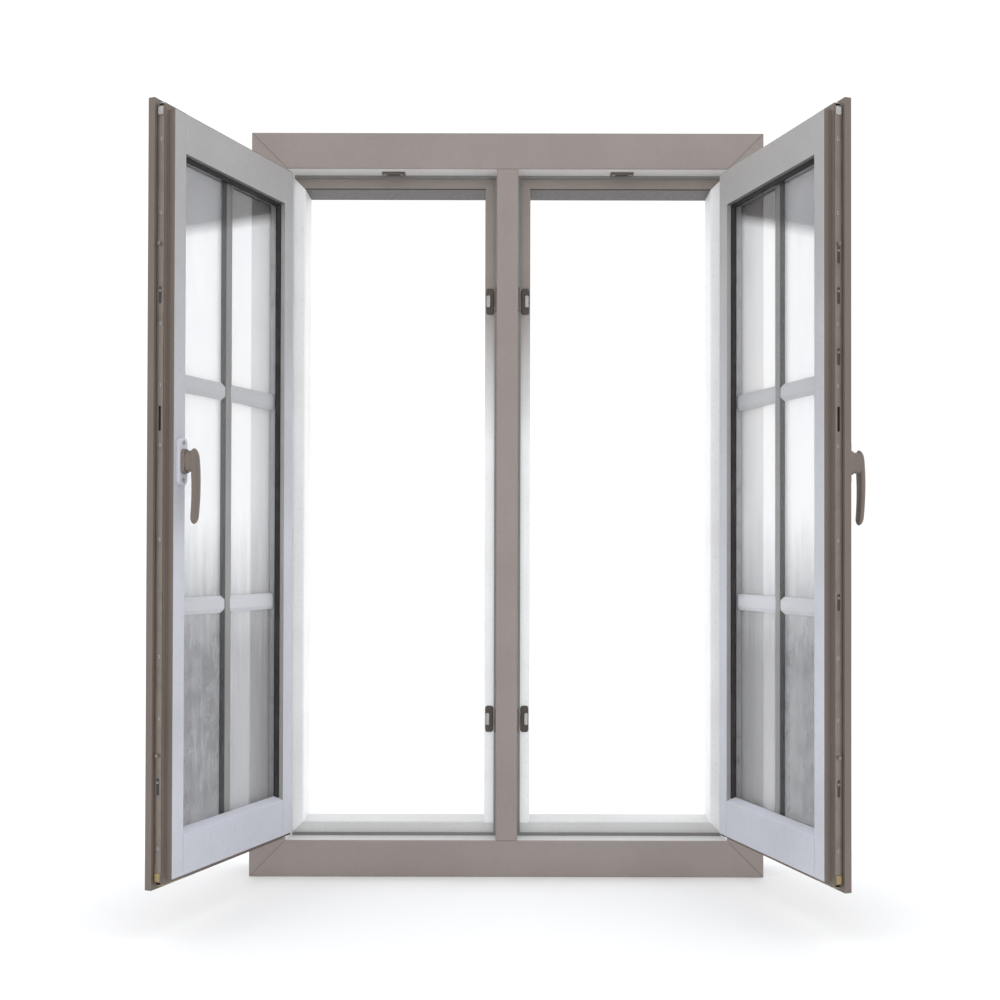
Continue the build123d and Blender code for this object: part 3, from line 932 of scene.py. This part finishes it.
class CASEMENT_OT_add_levers(bpy.types.Operator):
    """Model the rounded levers that stand for the lever solids"""

    bl_idname = "casement.add_levers"
    bl_label = "Add Levers"

    def execute(self, context):
        colours = context.scene.window_colours
        sizes = context.scene.window_sizes
        coat = plain_coat("lever_brown_coat", colours.handle_brown, 0.33)
        for side in SIDES:
            local = lever_shape(sizes)
            shape = Shape()
            shape.add(local.points, local.faces, handle_place(side))
            lever = shape.piece(side + "_lever_grip", side + "_lever", "handle_coat", coat, True, 50.0)
            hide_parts(side + "_handle_lever")
        return {"FINISHED"}


class CASEMENT_OT_add_screws(bpy.types.Operator):
    """Screw the keeps, hinges, faceplates and roses down"""

    bl_idname = "casement.add_screws"
    bl_label = "Add Screws"

    def execute(self, context):
        sizes = context.scene.window_sizes
        steel = brushed_metal("screw_zinc", context.scene.window_colours.screw_steel, (1, 1, 1), 0.9)
        for sash in SASHES:
            places = self.frame_places(sash.side, sash.sign)
            add_screws(sash.node("frame_screws"), "frame", "keep_coat", places, steel, sizes)
            places = self.sash_places(sash, sizes)
            add_screws(sash.node("sash_screws"), sash.body, "faceplate_metal", places, steel, sizes)
        return {"FINISHED"}

    def frame_places(self, side, sign):
        """Screws of head keep, mullion keeps and jamb hinges."""
        places = []
        low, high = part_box("head_keep_" + side)
        middle = (low + high) / 2
        for step in KEEP_SCREWS:
            places.append(((middle.x + step, middle.y, low.z), -UP))
        low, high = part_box("mullion_keeps_" + side)
        outer_x = high.x if sign > 0 else low.x
        for height in (low.z + KEEP_HALF, high.z - KEEP_HALF):
            for step in KEEP_SCREWS:
                places.append(((outer_x, (low.y + high.y) / 2, height + step), (sign, 0, 0)))
        low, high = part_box("frame_hinges_" + side)
        leaf_x = (high.x if sign > 0 else low.x) - sign * FRAME_LEAF_EDGE
        return places + hinge_screws(leaf_x, (low.z, high.z - HINGE_KNUCKLE - HINGE_PIN))

    def sash_places(self, sash, sizes):
        """Screws of the sash hinges, the faceplate and the rose."""
        low, high = sash.shut_box("sash_hinges")
        leaf_x = sash.edge("sash_hinges", LOCKWARD) + sash.sign * SASH_LEAF_EDGE
        places = hinge_screws(leaf_x, (low.z, high.z - HINGE_KNUCKLE))
        for height in STRIP_SCREWS:
            places.append((sash.strip_place(height), (-sash.sign, 0, 0)))
        turned = [(sash.to_rest @ Vector(place), sash.direction(out)) for place, out in places]
        handle = handle_place(sash.side)
        for reach in (-sizes.rose_screw_reach, sizes.rose_screw_reach):
            turned.append((handle @ Vector((0, sizes.rose_depth, reach)), handle.to_3x3() @ OUTDOORS))
        return turned


def rounded_outline(width, height, corner, steps=5):
    """Outline of a plate with round corners, about its middle."""
    outline = []
    for turn, (x, y) in enumerate(((1, 1), (-1, 1), (-1, -1), (1, -1))):
        for step in range(steps + 1):
            a = math.pi / 2 * (turn + step / steps)
            across = x * (width / 2 - corner) + corner * math.cos(a)
            outline.append((across, y * (height / 2 - corner) + corner * math.sin(a)))
    return outline


def plate(shape, place, width, height, thickness, corner):
    """Plate with round corners and a bevelled rim, lying on its back."""
    bevel = 0.35 * thickness
    full = rounded_outline(width, height, corner)
    inner = rounded_outline(width - 2 * bevel, height - 2 * bevel, corner - 0.7 * bevel)
    shape.rings(
        [
            [(x, y, 0.0) for x, y in full],
            [(x, y, thickness - bevel) for x, y in full],
            [(x, y, thickness) for x, y in inner],
        ],
        place,
    )


class CASEMENT_OT_add_lock_ends(bpy.types.Operator):
    """Cap both ends of each lock strip"""

    bl_idname = "casement.add_lock_ends"
    bl_label = "Add Lock Ends"

    def execute(self, context):
        colours = context.scene.window_colours
        zinc = brushed_metal("end_zinc", colours.zinc, (1, 1, 0.1), 0.7)
        brass = brushed_metal("end_brass", colours.brass, (1, 1, 0.1), 0.7)
        inset = 0.008
        for sash in SASHES:
            low, high = sash.shut_box("lock_faceplate")
            stile_low, stile_high = sash.shut_box("lock_stile")
            body_x = sash.strip_place(0.0, BOLT_REACH + STRIP_THICKNESS).x
            flange = abs(sash.edge("lock_stile", LOCKWARD) - body_x)
            self.end_piece(sash, "zinc_end", zinc, high.z - inset, stile_high.z - flange, 1)
            self.end_piece(sash, "brass_end", brass, low.z + inset, stile_low.z + flange, -1)
        return {"FINISHED"}

    def end_piece(self, sash, name, metal, height, level, up):
        """A plate on the free edge and one round the corner on the sash's end."""
        thickness, seat_depth, half_length = 0.0018, 0.0002, 0.030
        shape = Shape()
        seat = sash.on_free_edge(sash.strip_place(height, BOLT_REACH + seat_depth))
        plate(shape, seat, width=0.0105, height=0.014, thickness=thickness, corner=0.003)
        centre = sash.strip_place(level, BOLT_REACH + STRIP_THICKNESS + half_length)
        flat = axes(RIGHT, OUTDOORS * up, UP * up)
        end = sash.to_rest @ Matrix.Translation(centre) @ flat
        plate(shape, end, width=2 * half_length, height=0.0125, thickness=thickness, corner=0.004)
        shape.piece(sash.node(name), sash.body, "faceplate_metal", metal, smooth=True)


class CASEMENT_OT_add_cams(bpy.types.Operator):
    """Set the locking cams in their slots along each free edge"""

    bl_idname = "casement.add_cams"
    bl_label = "Add Locking Cams"

    def execute(self, context):
        colours = context.scene.window_colours
        # Painted shade: the slots are thin dark plates standing for the shade in their recesses.
        dark = rubber("cam_slot_shade", toned(colours.keep_brown, 0.55))
        steel = brushed_metal("cam_steel", colours.screw_steel, (1, 1, 1), 0.9)
        slot_length, cam_radius, cam_rise, cam_seat = 0.028, 0.0024, 0.0016, 0.0002
        for sash in SASHES:
            slots = Shape()
            cams = Shape()
            for height in CAM_HEIGHTS[sash.side]:
                seat = sash.on_free_edge(sash.strip_place(height))
                plate(slots, seat, width=0.0052, height=slot_length, thickness=0.0003, corner=0.0025)
                cam = seat @ Matrix.Translation((0, slot_length / 4, cam_seat))
                cams.rings(screw_rings(cam_radius, cam_rise, 24), cam)
            slots.piece(sash.node("cam_slots"), sash.body, "faceplate_metal", dark, smooth=True)
            cams.piece(sash.node("locking_cams"), sash.body, "faceplate_metal", steel, smooth=True)
        return {"FINISHED"}


class CASEMENT_OT_add_stop_plates(bpy.types.Operator):
    """Fix the strike plates on the front of the mullion's stop"""

    bl_idname = "casement.add_stop_plates"
    bl_label = "Add Strike Plates"

    def execute(self, context):
        colours = context.scene.window_colours
        dark = brushed_metal("strike_bronze", colours.keep_brown, (1, 1, 0.1), 0.6)
        bright = brushed_metal("strike_zinc", colours.zinc, (1, 1, 0.1), 0.85)
        front = axes(RIGHT, UP, -OUTDOORS)
        thickness = 0.0022
        for side, sign in SIDES.items():
            low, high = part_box("mullion_keeps_" + side)
            stop_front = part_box("frame_seal_" + side)[1].y
            inner = max(abs(low.x), abs(high.x))
            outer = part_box("mullion")[1].x
            centre_x = sign * (inner + outer) / 2
            room = outer - inner
            hook_x = centre_x + sign * room * 0.15
            base = Shape()
            hook = Shape()
            for height in (low.z + KEEP_HALF, high.z - KEEP_HALF):
                seat = Matrix.Translation((centre_x, stop_front, height)) @ front
                plate(base, seat, width=room * 0.8, height=0.052, thickness=thickness, corner=0.005)
                seat = Matrix.Translation((hook_x, stop_front - thickness, height)) @ front
                plate(hook, seat, width=room * 0.42, height=0.024, thickness=0.0034, corner=0.003)
            base.piece(side + "_strike_plates", "frame", "keep_coat", dark, smooth=True)
            hook.piece(side + "_strike_hooks", "frame", "keep_coat", bright, smooth=True)
        return {"FINISHED"}


class CASEMENT_OT_add_seams(bpy.types.Operator):
    """Draw the sealed joint lines of mitres and butts"""

    bl_idname = "casement.add_seams"
    bl_label = "Add Seams"

    def execute(self, context):
        sizes = context.scene.window_sizes
        colours = context.scene.window_colours
        line = plain_coat("joint_line", toned(colours.frame_taupe, 0.45), 0.6)
        pale_line = plain_coat("pale_joint_line", toned(colours.sash_white, 0.75), 0.6)
        self.frame_seams(sizes, line)
        for sash in SASHES:
            self.sash_seams(sash, sizes, pale_line)
        return {"FINISHED"}

    def frame_seams(self, sizes, line):
        """Mitres of the frame and butts of the mullion, front and back."""
        low, high = frame_box()
        seal_low, seal_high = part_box("frame_seal_left")
        face = seal_low.z - low.z
        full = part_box("frame_sill")[1].z - low.z
        edge = 0.002
        shape = Shape()
        for side in (-1, 1):
            for foot, up in ((low.z, 1), (high.z, -1)):
                for reach, level, out in ((face, low.y, -1), (full, high.y, 1)):
                    start = (side * (high.x - edge), level, foot + up * edge)
                    end = (side * (high.x - reach + edge), level, foot + up * (reach - edge))
                    seam(shape, start, end, (0, out, 0), sizes)
        half_face = -seal_high.x - edge
        half_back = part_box("mullion")[1].x - edge
        for height, half, level, out in (
            (seal_low.z, half_face, low.y, -1),
            (seal_high.z, half_face, low.y, -1),
            (low.z + full, half_back, high.y, 1),
            (high.z - full, half_back, high.y, 1),
        ):
            seam(shape, (-half, level, height), (half, level, height), (0, out, 0), sizes)
        shape.piece("frame_joint_lines", "frame", "frame_coat", line, smooth=True, sharp_angle=80)

    def sash_seams(self, sash, sizes, line):
        """Butts of the rails between the stiles, on the outer face."""
        shape = Shape()
        out = sash.direction(OUTDOORS)
        for member, foot_step, top_step in (("bottom_rail", RAIL_STEP, 0), ("top_rail", 0, RAIL_STEP)):
            low, high = sash.shut_box(member)
            for x in sash.clear_width():
                start = sash.to_rest @ Vector((x, high.y, low.z + foot_step))
                end = sash.to_rest @ Vector((x, high.y, high.z - top_step))
                seam(shape, start, end, out, sizes)
        name = sash.node("sash_joint_lines")
        shape.piece(name, sash.body, "sash_coat", line, smooth=True, sharp_angle=80)


def stage_material(settings):
    """Pale matte floor with a barely seen mottle."""
    paint = Paint("pale_floor")
    mottle = paint.noise(1.5, 4.0)
    pale = (settings.floor_grey,) * 3
    soft = toned(pale, 0.985)
    colour = paint.mix(mottle, opaque(soft), opaque(pale))
    paint.set(Base_Color=colour, Roughness=0.9, Specular_IOR_Level=0.1)
    return paint.material


class CASEMENT_OT_set_stage(bpy.types.Operator):
    """Lay the floor, hang the lights and place the camera"""

    bl_idname = "casement.set_stage"
    bl_label = "Set Stage"

    def execute(self, context):
        settings = context.scene.window_stage
        self.floor(settings)
        self.world(context.scene, settings)
        self.lamp("top_light", place=(0, 0.5, 5.5), target=(0, 0, 0), size=6.0, power=settings.top_power)
        self.lamp(
            "outdoor_light", place=(0, 3.6, 2.2), target=(0, 0, 0.75), size=3.0, power=settings.outdoor_power
        )
        self.camera(context.scene, settings)
        context.scene.view_settings.view_transform = "Standard"
        return {"FINISHED"}

    def floor(self, settings):
        """Wide level floor."""
        half, level = 40.0, -0.0005
        corners = [(-half, -half, level), (half, -half, level), (half, half, level), (-half, half, level)]
        mesh = bpy.data.meshes.new("pale_floor")
        mesh.from_pydata(corners, [], [(0, 1, 2, 3)])
        mesh.materials.append(stage_material(settings))
        floor = bpy.data.objects.new("pale_floor", mesh)
        bpy.context.scene.collection.objects.link(floor)

    def world(self, scene, settings):
        """Even light, a little bluer overhead."""
        world = bpy.data.worlds.new("studio_sky")
        sky = Wiring(world)
        overhead = sky.between(sky.along(UP, "Generated"), 0.0, 1.0, 0.1, 1.0)
        tint = sky.mix(overhead, (1.0, 1.0, 1.0, 1), (0.96, 0.975, 1.0, 1))
        light = sky.add("Background", {"Color": tint, "Strength": settings.sky_strength})
        sky.add("OutputWorld", {"Surface": light.outputs["Background"]})
        scene.world = world

    def lamp(self, name, place, target, size, power):
        """Soft square lamp that looks at a target."""
        light = bpy.data.lights.new(name, "AREA")
        light.size = size
        light.energy = power
        lamp = bpy.data.objects.new(name, light)
        lamp.location = place
        lamp.rotation_euler = (Vector(target) - Vector(place)).to_track_quat("-Z", "Y").to_euler()
        lamp.visible_camera = False
        lamp.visible_glossy = False
        lamp.visible_transmission = False
        bpy.context.scene.collection.objects.link(lamp)

    def camera(self, scene, settings):
        """Camera that sees the window as the photograph does."""
        data = bpy.data.cameras.new("photo_camera")
        data.sensor_width = 36.0
        data.lens = settings.focal_pixels * data.sensor_width / settings.image_side
        data.shift_x = 0.5 - settings.centre_right / settings.image_side
        data.shift_y = settings.centre_down / settings.image_side - 0.5
        data.clip_end = 100.0
        camera = bpy.data.objects.new("photo_camera", data)
        camera.location = settings.camera_place
        camera.rotation_euler = (math.pi / 2 + settings.camera_tilt, settings.camera_roll, 0.0)
        scene.collection.objects.link(camera)
        scene.camera = camera


PIECE_OPERATORS = (
    CASEMENT_OT_coat_frame,
    CASEMENT_OT_coat_sashes,
    CASEMENT_OT_glaze,
    CASEMENT_OT_add_seals,
    CASEMENT_OT_add_drip_beads,
    CASEMENT_OT_finish_hardware,
    CASEMENT_OT_add_levers,
    CASEMENT_OT_add_screws,
    CASEMENT_OT_add_lock_ends,
    CASEMENT_OT_add_cams,
    CASEMENT_OT_add_stop_plates,
    CASEMENT_OT_add_seams,
    CASEMENT_OT_set_stage,
)


class VIEW3D_PT_casement(bpy.types.Panel):
    """Looks of the casement window"""

    bl_label = "Casement Window"
    bl_space_type = "VIEW_3D"
    bl_region_type = "UI"
    bl_category = "Window"

    def draw(self, context):
        scene = context.scene
        for title, group in (
            ("Colours", scene.window_colours),
            ("Sizes", scene.window_sizes),
            ("Stage", scene.window_stage),
        ):
            box = self.layout.box()
            box.label(text=title)
            for key in group.__annotations__:
                box.prop(group, key)
        for operator in PIECE_OPERATORS:
            self.layout.operator(operator.bl_idname)


GROUPS = {"window_colours": WindowColours, "window_sizes": WindowSizes, "window_stage": StageSettings}
CLASSES = (*GROUPS.values(), *PIECE_OPERATORS, VIEW3D_PT_casement)


def register():
    for entry in CLASSES:
        bpy.utils.register_class(entry)
    for name, group in GROUPS.items():
        setattr(bpy.types.Scene, name, PointerProperty(type=group))


def unregister():
    for name in GROUPS:
        delattr(bpy.types.Scene, name)
    for entry in reversed(CLASSES):
        bpy.utils.unregister_class(entry)


def main():
    register()
    bpy.ops.casement.coat_frame()
    bpy.ops.casement.coat_sashes()
    bpy.ops.casement.glaze()
    bpy.ops.casement.add_seals()
    bpy.ops.casement.add_drip_beads()
    bpy.ops.casement.finish_hardware()
    bpy.ops.casement.add_levers()
    bpy.ops.casement.add_screws()
    bpy.ops.casement.add_lock_ends()
    bpy.ops.casement.add_cams()
    bpy.ops.casement.add_stop_plates()
    bpy.ops.casement.add_seams()
    bpy.ops.casement.set_stage()


if __name__ == "__main__":
    main()
